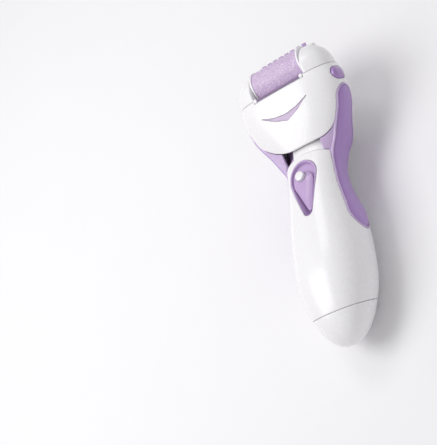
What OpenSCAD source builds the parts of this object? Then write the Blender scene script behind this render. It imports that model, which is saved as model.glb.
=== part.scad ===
// Electric callus remover, lying on its back.
// +Y runs from the battery end to the roller head, +Z is the front face,
// and the head leans towards the front.

/* [Roller] */
// Radius of the abrasive roller
roller_r = 10; // [9.6:0.1:10.2]
// Thickness of the abrasive sleeve
sleeve_t = 1.1; // [0.8:0.1:1.6]
// Half of the width of the roller window
window_half = 18.4; // [18:0.1:18.8]
// Radius of the roller axle
axle_r = 1.5; // [1.2:0.1:1.6]

/* [Head] */
// Angle at which the head leans towards the front
head_lean = 28; // [26:1:29]
// Height of the caps over the seam
cap_height = 18.5; // [18:0.1:19]

/* [Handle] */
// Wall thickness of the shells
wall = 1.8; // [1.6:0.1:2]
// How far the side grips stand proud
grip_proud = 0.8; // [0.4:0.1:1.2]
// Thickness of the rubber rest pad
pad_t = 3.2; // [3:0.1:3.4]

/* [Switch] */
// Distance that the switch slides
switch_travel = 4.5; // [3:0.1:5]
// Radius of the lock button
lock_r = 2.9; // [2.4:0.1:3.2]

/* [Batteries] */
// Radius of a cell, size AA
cell_r = 7.25; // [7:0.05:7.25]
// Length of a cell, size AA
cell_l = 50; // [49:0.1:50.5]

/* [Gears] */
// Gear module
gear_m = 0.8; // [0.75:0.01:0.81]
// Teeth on the motor pinion
pinion_teeth = 10; // [8:2:12]
// Teeth on the idler gear
idler_teeth = 24; // [20:4:24]
// Teeth on the roller gear
roller_teeth = 18; // [16:2:18]

/* [Hidden] */

white = "#f6f4f6";
lilac = "#d9c6e6";
purple = "#a886c2";
steel = "#c2c4c8";
brass = "#c9a75a";
dark = "#4a4450";

gap = 0.15;
fine = 64;
handle_n = 2.25;
head_n = 2.6;

// Handle sections: position along Y, half width, depth above and below the widest height,
// that height, and how much the underside narrows
handle_stations = [
    [-90.6, 0.5, 0.5, 0.5, 20, 0], [-90, 4, 3.6, 3.6, 20, 0], [-88.5, 7.1, 6.4, 6.4, 20.2, 0],
    [-85.5, 10.4, 9.4, 9.4, 20.4, 0], [-81, 13.6, 12.4, 12.4, 20.6, 0],
    [-75, 16.6, 15.2, 15.2, 20.8, 0], [-67, 19.5, 17.8, 17.8, 21, 0], [-56, 22.2, 20, 20, 21, 0],
    [-44, 23.2, 20.7, 20.7, 21, 0], [-30, 23.1, 20.6, 20.6, 21, 0], [-15, 22, 20, 20, 21, 0.04],
    [-8, 20.6, 17.8, 21.4, 22.8, 0.24], [0, 18.9, 14.9, 23.3, 25.2, 0.5],
    [7, 18.1, 13.2, 24.3, 26.3, 0.6], [14, 17.7, 12.6, 24.1, 26.4, 0.6],
    [20, 18.3, 12.9, 22.5, 25.3, 0.5], [26, 19.4, 14, 19.4, 23.4, 0.3],
    [36, 21.4, 15.4, 15.4, 21.6, 0], [46, 22, 15, 15, 22.4, 0]
];

// Head sections in the head's own frame: position, half width, half depth
head_stations = [
    [-5, 23, 17.2], [3, 27.2, 17.6], [12, 31.8, 17.8], [20, 34.3, 17.6], [28, 35.4, 16.8],
    [34, 34.9, 15.6], [38, 33.4, 14.4]
];
head_y = 37.5;
head_z = 23.8;
seam_y = 38;

// Shift along Y that puts the origin at the middle of the whole length
base_y = -1.88;

roller_y = 45.5;
idler_y = roller_y - gear_m * (roller_teeth + idler_teeth) / 2;
motor_y = idler_y - gear_m * (pinion_teeth + idler_teeth) / 2;
gear_x = 19.7;
gear_t = 3.4;
cap_half = head_stations[6][1];
cap_depth = head_stations[6][2];
flange_t = 1.1;
flange_r = roller_r + 0.35;
core_half = window_half - 0.4;
core_r = roller_r - sleeve_t;
stub_r = 3.1;
stub_l = 2.6;
bush_r = 2.3;
bush_l = 4;
cap_wall = 1.2;
boss_r = 3.2;
axle_half = 28.4;
running = 0.05;

rim_y = 24.6;
middle_z = 21;
parting_z = 9.5;
head_parting = -6;
head_edge_y = -1;
floor_z = 35.8;
slider_top = 39;
slider_base = floor_z + 0.3;
lock_base = 38.2;
lock_height = 2.3;
lock_y = 7.2;
cover_seam_y = -70.5;
cover_seam_tilt = 22;
cell_y0 = -60.5;
cell_gap = 7.7;
spring_l = 3.5;

// ---- helper functions and shapes ----

function signed_pow(v, p) = sign(v) * pow(abs(v), p);

// Superellipse outline with half axes a and b
function oval(a, b, n, count) = [
    for (i = [0 : count - 1]) let (t = 360 * i / count)
        [a * signed_pow(cos(t), 2 / n), b * signed_pow(sin(t), 2 / n)]
];

// Catmull-Rom curve through the rows of a station list
function spline_row(p, k, t) = let (
    a = p[max(k - 1, 0)], b = p[k], c = p[k + 1], d = p[min(k + 2, len(p) - 1)])
    0.5 * (2 * b + (c - a) * t + (2 * a - 5 * b + 4 * c - d) * t * t
        + (3 * b - a - 3 * c + d) * t * t * t);

function spline_rows(p, steps) = [
    for (k = [0 : len(p) - 2]) for (j = [0 : steps - 1]) spline_row(p, k, j / steps),
    p[len(p) - 1]
];

// One section's outline: a superellipse whose lower half has its own depth and narrows
function section(r, n, count) = [
    for (q = oval(1, 1, n, count)) let (low = max(-q[1], 0))
        [r[1] * q[0] * (1 - r[5] * low * low), r[0], r[4] + q[1] * (low > 0 ? r[3] : r[2])]];

// Closed solid through sections along +Y, each as the handle's stations are
module loft(rows, n, count) {
    rings = len(rows);
    points = [for (r = rows) each section(r, n, count)];
    walls = [for (k = [0 : rings - 2]) for (i = [0 : count - 1]) let (
        a = k * count + i, b = k * count + (i + 1) % count)
        each [[a, b, b + count], [a, b + count, a + count]]];
    first = [for (i = [0 : count - 1]) count - 1 - i];
    last = [for (i = [0 : count - 1]) (rings - 1) * count + i];
    polyhedron(points = points, faces = concat(walls, [first, last]), convexity = 4);
}

// Handle body, grown (or shrunk) by grow
module handle_body(grow = 0, steps = 2, count = 36) {
    rows = [for (r = spline_rows(handle_stations, steps))
        [r[0] - (r[0] < -80 ? grow : 0), max(r[1] + grow, 0.3), max(r[2] + grow, 0.3),
            max(r[3] + grow, 0.3), r[4], r[5]]];
    loft(rows, handle_n, count);
}

// Head body in its own frame, grown (or shrunk) by grow
module head_body(grow = 0, steps = 2, count = 40) {
    rows = [for (r = spline_rows(head_stations, steps))
        [r[0], r[1] + grow, r[2] + grow, r[2] + grow, 0, 0]];
    loft(rows, head_n, count);
}

module handle_frame() {
    translate([0, base_y, 0]) children();
}

// Takes the head's frame to the handle's
module lean() {
    translate([0, head_y, head_z]) rotate([head_lean, 0, 0]) children();
}

module head_frame() {
    handle_frame() lean() children();
}

// Takes the handle's frame to the head's
module unlean() {
    rotate([-head_lean, 0, 0]) translate([0, -head_y, -head_z]) children();
}

// Turns its children's own Z axis to +X
module along_x(x0 = 0) {
    translate([x0, 0, 0]) rotate([90, 0, 90]) children();
}

// Cylinder along +X from x0 to x1, centred at y, z
module rod_x(r, x0, x1, y = 0, z = 0) {
    translate([x0, y, z]) rotate([0, 90, 0]) cylinder(r = r, h = x1 - x0, $fn = fine);
}

// Box from one corner to the other
module span(low, high) {
    translate(low) cube(high - low);
}

// Makes one mesh of its children
module as_mesh() {
    resize([0, 0, 0]) children();
}

// Everything on the battery side of the cover's seam, moved along Y by shift
module cover_side(shift = 0) {
    translate([0, cover_seam_y + shift, middle_z]) rotate([cover_seam_tilt, 0, 0])
        span([-60, -80, -60], [60, 0, 60]);
}

// Outline of a side grip, seen from the side: Y to the right, Z up
module grip_outline() {
    grip_path = [[-17, 21, 9], [2, 21.5, 9.6], [20, 22.4, 8.6], [34, 25.6, 7.6], [51.5, 33.4, 6.4]];
    for (k = [0 : len(grip_path) - 2]) hull() for (p = [grip_path[k], grip_path[k + 1]])
        translate([p[0], p[1]]) circle(r = p[2], $fn = 32);
}

// The grip outline as a block reaching out from side = -1 or 1
module grip_block(side, extra = 0) {
    mirror([side < 0 ? 1 : 0, 0, 0]) along_x(9) linear_extrude(height = 50)
        offset(delta = extra) grip_outline();
}

// Handle and head together, grown by grow
module outer_form(grow) {
    handle_body(grow, 1, 32);
    lean() head_body(grow, 1, 32);
}

// Grip at x < 0
module grip() {
    as_mesh() intersection() {
        difference() {
            outer_form(grip_proud);
            outer_form(-1);
        }
        grip_block(-1);
    }
}

// Space that the grips need in the shells
module grip_pockets() {
    for (side = [-1, 1]) difference() {
        grip_block(side, 0.25);
        outer_form(-1 - gap);
    }
}

// Teardrop with its wide end towards +Y
module teardrop(wide_r, wide_y, tip_r, tip_y, extra = 0) {
    hull() {
        translate([0, wide_y]) circle(r = wide_r + extra, $fn = 48);
        translate([0, tip_y]) circle(r = tip_r + extra, $fn = 32);
    }
}

module recess_outline(extra = 0) {
    teardrop(9.4, 9, 2.4, -13.6, extra);
}

// Coil spring along +Z
module coil(r, wire_r, height, turns, sides = 6, steps = 16) {
    count = ceil(turns * steps);
    points = [for (i = [0 : count]) let (a = 360 * turns * i / count)
        for (j = [0 : sides - 1]) let (b = 360 * j / sides, d = r + wire_r * cos(b))
            [d * cos(a), d * sin(a), wire_r + (height - 2 * wire_r) * i / count + wire_r * sin(b)]];
    walls = [for (i = [0 : count - 1]) for (j = [0 : sides - 1]) let (
        a = i * sides + j, b = i * sides + (j + 1) % sides)
        each [[a, b, b + sides], [a, b + sides, a + sides]]];
    first = [for (j = [0 : sides - 1]) sides - 1 - j];
    last = [for (j = [0 : sides - 1]) count * sides + j];
    polyhedron(points = points, faces = concat(walls, [first, last]), convexity = 6);
}

function unit(v) = v / norm(v);

// Round wire swept along the points of a route
module wire(path, r = 0.6, sides = 8) {
    count = len(path);
    rings = [for (k = [0 : count - 1]) let (
        d = unit(path[min(k + 1, count - 1)] - path[max(k - 1, 0)]),
        u = unit(cross(d, [0.3, 0.2, 1])), v = cross(d, u))
        [for (i = [0 : sides - 1]) path[k] + r * (cos(360 * i / sides) * u + sin(360 * i / sides) * v)]];
    walls = [for (k = [0 : count - 2]) for (i = [0 : sides - 1]) let (
        a = k * sides + i, b = k * sides + (i + 1) % sides)
        each [[a, b, b + sides], [a, b + sides, a + sides]]];
    first = [for (i = [0 : sides - 1]) sides - 1 - i];
    last = [for (i = [0 : sides - 1]) (count - 1) * sides + i];
    polyhedron(points = [for (ring = rings) each ring], faces = concat(walls, [first, last]));
}

// Spur gear along +X with straight flanks; turn sets its angle
module gear(teeth, bore_r, turn = 0) {
    pitch_r = gear_m * teeth / 2;
    tip_r = pitch_r + 0.85 * gear_m;
    root_r = pitch_r - 1.1 * gear_m;
    half_at_pitch = gear_m * 0.7;
    slope = tan(22);
    tip_half = half_at_pitch - (tip_r - pitch_r) * slope;
    root_half = half_at_pitch + (pitch_r - root_r) * slope * 0.6;
    rotate([0, 90, 0]) rotate([0, 0, turn]) difference() {
        union() {
            cylinder(r = root_r, h = gear_t, $fn = fine);
            for (i = [0 : teeth - 1]) rotate([0, 0, 360 * i / teeth])
                linear_extrude(height = gear_t) polygon([
                    [root_r - 0.5, -root_half], [root_r, -root_half], [tip_r, -tip_half],
                    [tip_r, tip_half], [root_r, root_half], [root_r - 0.5, root_half]]);
        }
        translate([0, 0, -1]) cylinder(r = bore_r, h = gear_t + 2, $fn = fine);
    }
}

// ---- handle ----

module handle_wall() {
    difference() {
        handle_body();
        handle_body(-wall, 1, 32);
    }
}

module handle_front_shell() {
    color(white) handle_frame() as_mesh() difference() {
        handle_wall();
        span([-60, -120, -60], [60, 120, parting_z + gap]);
        cover_side(gap);
        span([-60, rim_y, -60], [60, 120, 120]);
        grip_pockets();
        translate([0, 0, middle_z]) linear_extrude(height = 40) recess_outline(0.8);
    }
}

module pad_outline(extra = 0) {
    hull() for (p = [[-28, 8], [11, 4]]) translate([0, p[0]]) circle(r = p[1] + extra, $fn = 48);
}

module handle_rear_shell() {
    color(white) handle_frame() as_mesh() difference() {
        union() {
            handle_wall();
            intersection() {
                handle_body(-0.5, 1, 32);
                linear_extrude(height = pad_t + 1.4) pad_outline(2);
            }
        }
        span([-60, -120, parting_z - gap], [60, 120, 120]);
        cover_side(gap);
        span([-60, 43, -60], [60, 120, 120]);
        grip_pockets();
        translate([0, 0, -1]) linear_extrude(height = pad_t + 1) pad_outline(0.05);
    }
}

module rear_pad() {
    color(purple) handle_frame() linear_extrude(height = pad_t) pad_outline();
}

module battery_cover() {
    color(white) handle_frame() as_mesh() {
        intersection() {
            handle_wall();
            cover_side(-gap);
        }
        for (x = [-5, 5])
            span([x - 0.8, -88.3, middle_z - 2], [x + 0.8, cell_y0 - spring_l - 0.4, middle_z + 2]);
    }
}

module grip_left() {
    color(purple) handle_frame() grip();
}

module grip_right() {
    color(purple) handle_frame() mirror([1, 0, 0]) grip();
}

// ---- neck ----

// Space that the head's shells need, so that the neck stays clear of them
module head_wall_space() {
    lean() difference() {
        head_body(2.5, 1, 32);
        head_body(-wall - 0.2, 1, 32);
        span([-60, -30, -60], [60, head_edge_y - 0.3, 60]);
    }
}

// Both sides of the neck, outwards from x
module neck_sides(x, y0, y1, z0) {
    for (side = [0, 1]) mirror([side, 0, 0]) span([x, y0, z0], [60, y1, 60]);
}

module neck_frame() {
    color(lilac) handle_frame() as_mesh() difference() {
        union() {
            difference() {
                handle_body(-wall - 0.2, 1, 32);
                span([-60, -120, -60], [60, rim_y - 4.6, 120]);
                span([-60, 43, -60], [60, 120, 120]);
            }
            intersection() {
                handle_body(-0.4, 1, 32);
                neck_sides(13.2, rim_y + 0.2, 43, parting_z + gap);
            }
        }
        handle_body(-wall - 1.6, 1, 32);
        grip_pockets();
        head_wall_space();
        lean() span([-18.1, 4.9, -30], [18.1, 60, 30]);
    }
}

module neck_collar() {
    color(white) handle_frame() as_mesh() difference() {
        handle_body(-0.5, 1, 32);
        handle_body(-wall - 0.1, 1, 32);
        span([-60, -120, -60], [60, rim_y + 0.2, 120]);
        span([-60, 40, -60], [60, 120, 120]);
        span([-60, -120, -60], [60, 120, 24]);
        neck_sides(13, -120, 120, -60);
        head_wall_space();
    }
}

// ---- head ----

module head_wall() {
    difference() {
        head_body();
        head_body(-wall, 1, 32);
        span([-60, -30, -60], [60, head_edge_y, 60]);
        span([-60, seam_y - gap, -60], [60, 60, 60]);
        unlean() grip_pockets();
        for (side = [0, 1]) mirror([side, 0, 0]) span([10, -20, -8], [60, 8, 8]);
    }
}

// Places of the casing screws, in the head's frame
module casing_points() {
    for (x = [-10, 10]) translate([x, 27.5, 0]) children();
}

// Outline of the release button seen from its side: Y to the right, Z up
module button_outline(extra = 0) {
    hull() for (z = [0.1, 3.9]) translate([30.6, z]) circle(r = 3.9 + extra, $fn = 48);
}

// Shallow wing mark on the front of the head
module chevron_block(extra = 0) {
    translate([0, 0, 8]) linear_extrude(height = 12) offset(delta = extra) polygon([
        [0, 17.3], [8, 20.2], [16.6, 25.2], [9, 22.4], [1.4, 21.2],
        [-1.4, 21.2], [-9, 22.4], [-16.6, 25.2], [-8, 20.2]]);
}

module chevron_groove() {
    intersection() {
        chevron_block(0.1);
        difference() {
            head_body(2, 1, 32);
            head_body(-1, 1, 32);
        }
    }
}

module head_front_shell() {
    color(white) head_frame() difference() {
        union() {
            as_mesh() difference() {
                head_wall();
                span([-60, -60, -60], [60, 60, head_parting + gap]);
                span([-window_half, seam_y - 2, 0], [window_half, 60, 60]);
                chevron_groove();
                along_x(24) linear_extrude(height = 20) button_outline(0.2);
            }
            casing_points() translate([0, 0, -3]) cylinder(r = 2.6, h = 18.2, $fn = fine);
        }
        casing_points() translate([0, 0, -4]) cylinder(r = 1.2, h = 9, $fn = fine);
    }
}

module head_rear_shell() {
    color(white) head_frame() difference() {
        union() {
            as_mesh() difference() {
                head_wall();
                span([-60, -60, head_parting - gap], [60, 60, 60]);
            }
            casing_points() translate([0, 0, -15.6]) cylinder(r = 3.4, h = 12.4, $fn = fine);
        }
        casing_points() translate([0, 0, -30]) cylinder(r = 1.3, h = 28, $fn = fine);
        casing_points() translate([0, 0, -30]) cylinder(r = 2.5, h = 16, $fn = fine);
    }
}

module chevron_inlay() {
    color(lilac) head_frame() as_mesh() intersection() {
        difference() {
            head_body(-0.4, 1, 40);
            head_body(-1, 1, 32);
        }
        chevron_block();
    }
}

module casing_screws() {
    color(steel) head_frame() casing_points() {
        translate([0, 0, -14.2]) cylinder(r = 1.2, h = 15.2, $fn = fine);
        difference() {
            translate([0, 0, -15.3]) cylinder(r = 2.3, h = 1.3, $fn = fine);
            for (a = [0, 90]) rotate([0, 0, a]) span([-1.4, -0.3, -15.4], [1.4, 0.3, -14.6]);
        }
    }
}

// Upright comb behind the roller
module guard_comb() {
    comb_half = 17.6;
    comb_back = -11.3;
    comb_face = -10.5;
    teeth = 8;
    pitch = 2 * comb_half / teeth;
    color(lilac) head_frame() {
        span([-comb_half, 31.2, comb_back], [comb_half, 56.6, comb_face]);
        for (k = [0 : teeth - 1]) {
            x = -comb_half + pitch * (k + 0.5);
            span([x - 1.5, 56.6, comb_back], [x + 1.5, 58.4, comb_face]);
        }
        for (x = [-15.6, 0, 15.6]) span([x - 1.5, 31.2, -12.6], [x + 1.5, 34.5, comb_back]);
    }
}

// ---- switch ----

module switch_bezel() {
    color(lilac) handle_frame() as_mesh() difference() {
        intersection() {
            handle_body(-0.05, 1, 32);
            translate([0, 0, floor_z - 1]) linear_extrude(height = 20) recess_outline(0.65);
        }
        translate([0, 0, floor_z]) linear_extrude(height = 20) recess_outline();
        span([-2.3, -3.4, 20], [2.3, 3.4 + switch_travel, 60]);
    }
}

module switch_slider() {
    color(lilac) handle_frame() difference() {
        union() {
            translate([0, 0, slider_base]) linear_extrude(height = slider_top - slider_base)
                teardrop(7.5, 4.6, 2, -10.4);
            span([-2, -3, 30], [2, 3, slider_base]);
        }
        translate([0, lock_y, slider_base + 0.6]) cylinder(r = lock_r + running, h = 10, $fn = fine);
    }
}

module lock_button() {
    color(white) handle_frame() translate([0, lock_y, lock_base])
        cylinder(r = lock_r, h = lock_height, $fn = fine);
}

module lock_spring() {
    color(steel) handle_frame() translate([0, lock_y, slider_base + 0.6])
        coil(1.9, 0.2, lock_base - slider_base - 0.6, 2, 5, 12);
}

module circuit_board() {
    color("darkseagreen") handle_frame() difference() {
        span([-13, -6, 25], [13, 24, 26.6]);
        for (x = [-10, 10]) translate([x, 20, 20]) cylinder(r = 1, h = 10, $fn = fine);
    }
}

module slide_switch() {
    color(dark) handle_frame() difference() {
        span([-4.2, -6, 26.6], [4.2, 3 + switch_travel + 3, 32.6]);
        span([-2.3, -3.3, 29.7], [2.3, 3.3 + switch_travel, 40]);
    }
}

// ---- batteries ----

module cell_places() {
    for (x = [-cell_gap, cell_gap]) for (z = [-cell_gap, cell_gap])
        translate([x, cell_y0, middle_z + z]) rotate([-90, 0, 0]) children();
}

module battery_cell(x, z) {
    color(purple) handle_frame() translate([x * cell_gap, cell_y0, middle_z + z * cell_gap])
        rotate([-90, 0, 0]) {
            cylinder(r = cell_r, h = cell_l - 1.2, $fn = fine);
            cylinder(r = 2.7, h = cell_l, $fn = fine);
        }
}

module battery_tray() {
    end_y = cell_y0 + cell_l;
    color(dark) handle_frame() {
        span([-0.35, cell_y0, middle_z - 12.8], [0.35, end_y + 0.4, middle_z + 12.8]);
        span([-14, cell_y0, middle_z - 0.35], [14, end_y - 0.1, middle_z + 0.35]);
        translate([0, end_y + 1.9, middle_z]) rotate([90, 0, 0]) linear_extrude(height = 1.5)
            hull() for (x = [-1, 1]) for (z = [-1, 1]) translate([x * 7.4, z * 6.8]) circle(r = 6, $fn = 32);
    }
}

module battery_contacts() {
    end_y = cell_y0 + cell_l;
    color(brass) handle_frame() for (x = [-cell_gap, cell_gap])
        span([x - 4.5, end_y, middle_z - 12], [x + 4.5, end_y + 0.4, middle_z + 12]);
}

module cover_contact() {
    color(brass) handle_frame() translate([0, cell_y0 - spring_l, middle_z]) rotate([90, 0, 0])
        linear_extrude(height = 0.4)
            hull() for (x = [-7.2, 7.2]) for (z = [-7.2, 7.2]) translate([x, z]) circle(r = 4.1, $fn = 32);
}

module battery_springs() {
    color(steel) handle_frame() cell_places() translate([0, 0, -spring_l])
        coil(3.2, 0.4, spring_l, 2.5, 5, 12);
}

module wires() {
    color("firebrick") handle_frame() {
        wire([
            [-6, 23.6, 27.4], [-7, 30, 27], [-12, 38, 25], [-16.4, 43, 24.5], [-17.6, 47, 27],
            [-16.2, 49.1, 34]]);
        wire([
            [6, 23.6, 27.4], [4, 26, 27.2], [-3, 32, 23], [-12, 38, 21.5], [-16.4, 43, 21],
            [-17.8, 49, 23.5], [-16.2, 52.5, 27.7]]);
        for (x = [-9, 9]) wire([[x, -8, 30], [x, -5.4, 27.3]]);
    }
}

// ---- drive ----

module motor_can() {
    color(steel) head_frame() difference() {
        intersection() {
            rod_x(10.2, -15, 16.2, motor_y);
            span([-16, motor_y - 7.7, -11], [17, motor_y + 7.7, 11]);
        }
        intersection() {
            rod_x(9.4, -14.2, 15.4, motor_y);
            span([-16, motor_y - 6.9, -11], [17, motor_y + 6.9, 11]);
        }
        rod_x(1 + running, -16, 17, motor_y);
        for (z = [-5, 5]) rod_x(0.9, 15, 17, motor_y, z);
    }
}

module motor_shaft() {
    color(steel) head_frame() rod_x(1, -15.6, gear_x + gear_t + 0.4, motor_y);
}

module motor_rotor() {
    color(brass) head_frame() difference() {
        rod_x(6.2, -9, 9, motor_y);
        rod_x(1, -10, 10, motor_y);
    }
}

module motor_pinion() {
    color(brass) head_frame() translate([gear_x, motor_y, 0]) gear(pinion_teeth, 1, 90);
}

module motor_bracket() {
    color(steel) head_frame() difference() {
        union() {
            span([16.2, 7, -11], [17.8, 23, 11]);
            span([16.2, 23, -7], [17.8, 33, 7]);
            span([16.2, 8, -8], [26, 16.5, -6.8]);
            span([24.9, 8, -8], [26, 16.5, 3.4]);
            span([24.9, 16.5, -3.4], [26, 33.6, 3.4]);
        }
        rod_x(3, 16, 18, motor_y);
        rod_x(axle_r, 16, 27, idler_y);
        for (z = [-5, 5]) rod_x(0.9, 16, 18, motor_y, z);
    }
}

module motor_screws() {
    color(steel) head_frame() for (z = [-5, 5]) {
        rod_x(0.9, 14.4, 17.8, motor_y, z);
        rod_x(1.7, 17.8, 18.9, motor_y, z);
    }
}

module idler_gear() {
    color(white) head_frame() translate([gear_x, idler_y, 0])
        gear(idler_teeth, axle_r + running, 90 + 180 / idler_teeth);
}

module idler_pin() {
    color(steel) head_frame() {
        rod_x(axle_r, 16.2, 26, idler_y);
        rod_x(2.6, 17.8, gear_x - 0.2, idler_y);
    }
}

// ---- roller cartridge ----

module roller_sleeve() {
    color(lilac) head_frame() difference() {
        rod_x(roller_r, -core_half + flange_t, core_half - flange_t, roller_y);
        rod_x(core_r, -20, 20, roller_y);
    }
}

module roller_core() {
    color(white) head_frame() difference() {
        union() {
            rod_x(core_r, -core_half, core_half, roller_y);
            rod_x(flange_r, -core_half, -core_half + flange_t, roller_y);
            rod_x(flange_r, core_half - flange_t, core_half, roller_y);
            rod_x(stub_r, -core_half - stub_l, gear_x + gear_t, roller_y);
        }
        rod_x(2, -30, 30, roller_y);
        rod_x(bush_r, -30, -core_half + bush_l, roller_y);
        rod_x(bush_r, core_half, 30, roller_y);
    }
}

module roller_bushes() {
    color(brass) head_frame() difference() {
        union() {
            rod_x(bush_r, -core_half - stub_l, -core_half + bush_l, roller_y);
            rod_x(bush_r, core_half, gear_x + gear_t, roller_y);
        }
        rod_x(axle_r + running, -30, 30, roller_y);
    }
}

module roller_gear() {
    color(white) head_frame() translate([gear_x, roller_y, 0]) gear(roller_teeth, stub_r, 90);
}

module roller_axle() {
    color(steel) head_frame() rod_x(axle_r, -axle_half, axle_half, roller_y);
}

// Both caps as one closed form, domed at the ends and along the top
module cap_form(grow = 0) {
    rows = [for (a = [0 : 10 : 90]) [
        seam_y + (cap_height + grow) * sin(a),
        window_half + (cap_half - window_half + grow) * cos(a),
        max((cap_depth + grow) * cos(a), 0.1), max((cap_depth + grow) * cos(a), 0.1), 0, 0]];
    loft(rows, head_n, 40);
}

module cap_shell() {
    difference() {
        cap_form();
        span([-60, 0, -60], [window_half, 80, 60]);
        difference() {
            cap_form(-cap_wall);
            span([-60, 0, -60], [window_half + 1.1, 80, 60]);
        }
    }
}

// A domed cap at x > 0, with the boss that holds the axle's end
module cap() {
    difference() {
        union() {
            as_mesh() difference() {
                cap_shell();
                rod_x(3.6, 10, window_half + 3, roller_y);
            }
            rod_x(boss_r, axle_half - 3, axle_half + 2.4, roller_y);
        }
        rod_x(axle_r, 20, axle_half, roller_y);
    }
}

module cap_right() {
    color(white) head_frame() cap();
}

module cap_left() {
    color(white) head_frame() mirror([1, 0, 0]) cap();
}

module cartridge_cradle() {
    color(white) head_frame() difference() {
        union() {
            translate([0, seam_y, 0]) rotate([90, 0, 0]) linear_extrude(height = 1.7)
                polygon(oval(30.4, 11.8, head_n, 48));
            span([-window_half + 0.3, seam_y - 1.7, 11], [window_half - 0.3, seam_y, 13.4]);
            for (x = [-26.9, 26.9]) span([x - 0.9, 26, -7.2], [x + 0.9, seam_y - 1, -4.9]);
        }
        span([-window_half - 0.1, 30, -20], [window_half + 0.1, 60, 8.6]);
        span([gear_x - 0.5, 30, -8.6], [gear_x + gear_t + 0.5, 60, 8.6]);
    }
}

// ---- release button ----

module release_button() {
    color(purple) head_frame() {
        along_x(28.6) linear_extrude(height = 6.9) button_outline();
        along_x(28.6) linear_extrude(height = 0.8) button_outline(0.5);
    }
}

module latch_hook() {
    color(steel) head_frame() span([25.6, 28.6, -4.6], [28.6, 32.6, -3.9]);
}

module release_spring() {
    color(steel) head_frame() translate([26, 30.6, 1]) rotate([0, 90, 0]) coil(2, 0.25, 2.6, 2, 5, 12);
}

handle_front_shell();
handle_rear_shell();
battery_cover();
rear_pad();
grip_left();
grip_right();
neck_frame();
neck_collar();
head_front_shell();
head_rear_shell();
chevron_inlay();
guard_comb();
switch_bezel();
switch_slider();
lock_button();
lock_spring();
circuit_board();
slide_switch();
battery_tray();
battery_contacts();
battery_cell(-1, -1);  // battery_cell_1
battery_cell(1, -1);  // battery_cell_2
battery_cell(-1, 1);  // battery_cell_3
battery_cell(1, 1);  // battery_cell_4
battery_springs();
cover_contact();
wires();
motor_can();
motor_rotor();
motor_shaft();
motor_pinion();
motor_bracket();
motor_screws();
idler_gear();
idler_pin();
roller_sleeve();
roller_core();
roller_bushes();
roller_gear();
roller_axle();
cartridge_cradle();
cap_left();
cap_right();
release_button();
release_spring();
latch_hook();
casing_screws();
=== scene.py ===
"""Looks of the electric callus remover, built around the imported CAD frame.

The moulded skins are written as rounded intersections of smooth forms, in mm, in the handle's or
the head's own frame, and meshed with surface nets. The mechanical nodes stay as the CAD gives them.
"""
import math

import bpy
import numpy as np
from mathutils import Matrix, Vector


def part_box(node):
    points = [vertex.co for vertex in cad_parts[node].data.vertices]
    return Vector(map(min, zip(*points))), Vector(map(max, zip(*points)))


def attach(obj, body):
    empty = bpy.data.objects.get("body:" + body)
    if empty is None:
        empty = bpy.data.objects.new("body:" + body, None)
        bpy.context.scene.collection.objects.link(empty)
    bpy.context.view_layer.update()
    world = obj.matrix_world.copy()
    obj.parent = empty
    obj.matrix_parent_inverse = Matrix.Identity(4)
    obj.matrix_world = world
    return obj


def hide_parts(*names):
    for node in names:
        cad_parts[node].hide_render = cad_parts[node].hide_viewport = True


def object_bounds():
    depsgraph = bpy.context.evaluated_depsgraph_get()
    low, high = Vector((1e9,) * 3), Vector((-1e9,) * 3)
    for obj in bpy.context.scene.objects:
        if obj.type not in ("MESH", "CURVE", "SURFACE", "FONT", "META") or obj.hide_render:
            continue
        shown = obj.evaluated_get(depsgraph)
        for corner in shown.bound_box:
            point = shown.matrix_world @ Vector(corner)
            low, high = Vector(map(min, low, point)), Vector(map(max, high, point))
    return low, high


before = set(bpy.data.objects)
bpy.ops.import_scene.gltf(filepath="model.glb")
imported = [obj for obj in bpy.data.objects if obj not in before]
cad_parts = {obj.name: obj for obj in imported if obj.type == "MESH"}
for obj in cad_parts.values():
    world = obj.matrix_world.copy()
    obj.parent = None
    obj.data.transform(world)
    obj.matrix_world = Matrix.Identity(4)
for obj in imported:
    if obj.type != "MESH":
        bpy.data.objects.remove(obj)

cad_low, cad_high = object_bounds()
MM = 0.001

# ---- places, from the CAD boxes -------------------------------------------------------------

LEAN = math.radians(28)
ROLLER_Y = 45.5
PAD_MIDDLE = -10.0
pad_low, pad_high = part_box("rear_pad")
axle_low, axle_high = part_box("roller_axle")
BASE_Y = (pad_low.y + pad_high.y) / 2 / MM - PAD_MIDDLE
HEAD_Y = (axle_low.y + axle_high.y) / 2 / MM - BASE_Y - ROLLER_Y * math.cos(LEAN)
HEAD_Z = (axle_low.z + axle_high.z) / 2 / MM - ROLLER_Y * math.sin(LEAN)
HANDLE = Matrix.Translation((0, BASE_Y * MM, 0)) @ Matrix.Scale(MM, 4)
HEAD = (Matrix.Translation((0, (BASE_Y + HEAD_Y) * MM, HEAD_Z * MM))
        @ Matrix.Rotation(LEAN, 4, "X") @ Matrix.Scale(MM, 4))


def to_head(y, z):
    """The handle's y and z as the head's own."""
    dy, dz = y - HEAD_Y, z - HEAD_Z
    return dy * math.cos(LEAN) + dz * math.sin(LEAN), dz * math.cos(LEAN) - dy * math.sin(LEAN)


def to_handle(y, z):
    """The head's own y and z as the handle's."""
    return (HEAD_Y + y * math.cos(LEAN) - z * math.sin(LEAN),
            HEAD_Z + y * math.sin(LEAN) + z * math.cos(LEAN))


# ---- camera ---------------------------------------------------------------------------------

CAMERA_AZIMUTH, CAMERA_ELEVATION, CAMERA_ROLL = (math.radians(a) for a in (42.66, 47.06, -60.76))
CAMERA_TARGET = Vector((0, 4.12, 21.0)) * MM
CAMERA_DISTANCE, CAMERA_LENS, CAMERA_SENSOR = 0.6984, 96.62, 36.0
# the object stands right of the frame's middle and above it, so the camera aims left and below
AIM_LEFT, AIM_DOWN = 0.0881667, 0.0258723


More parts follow.
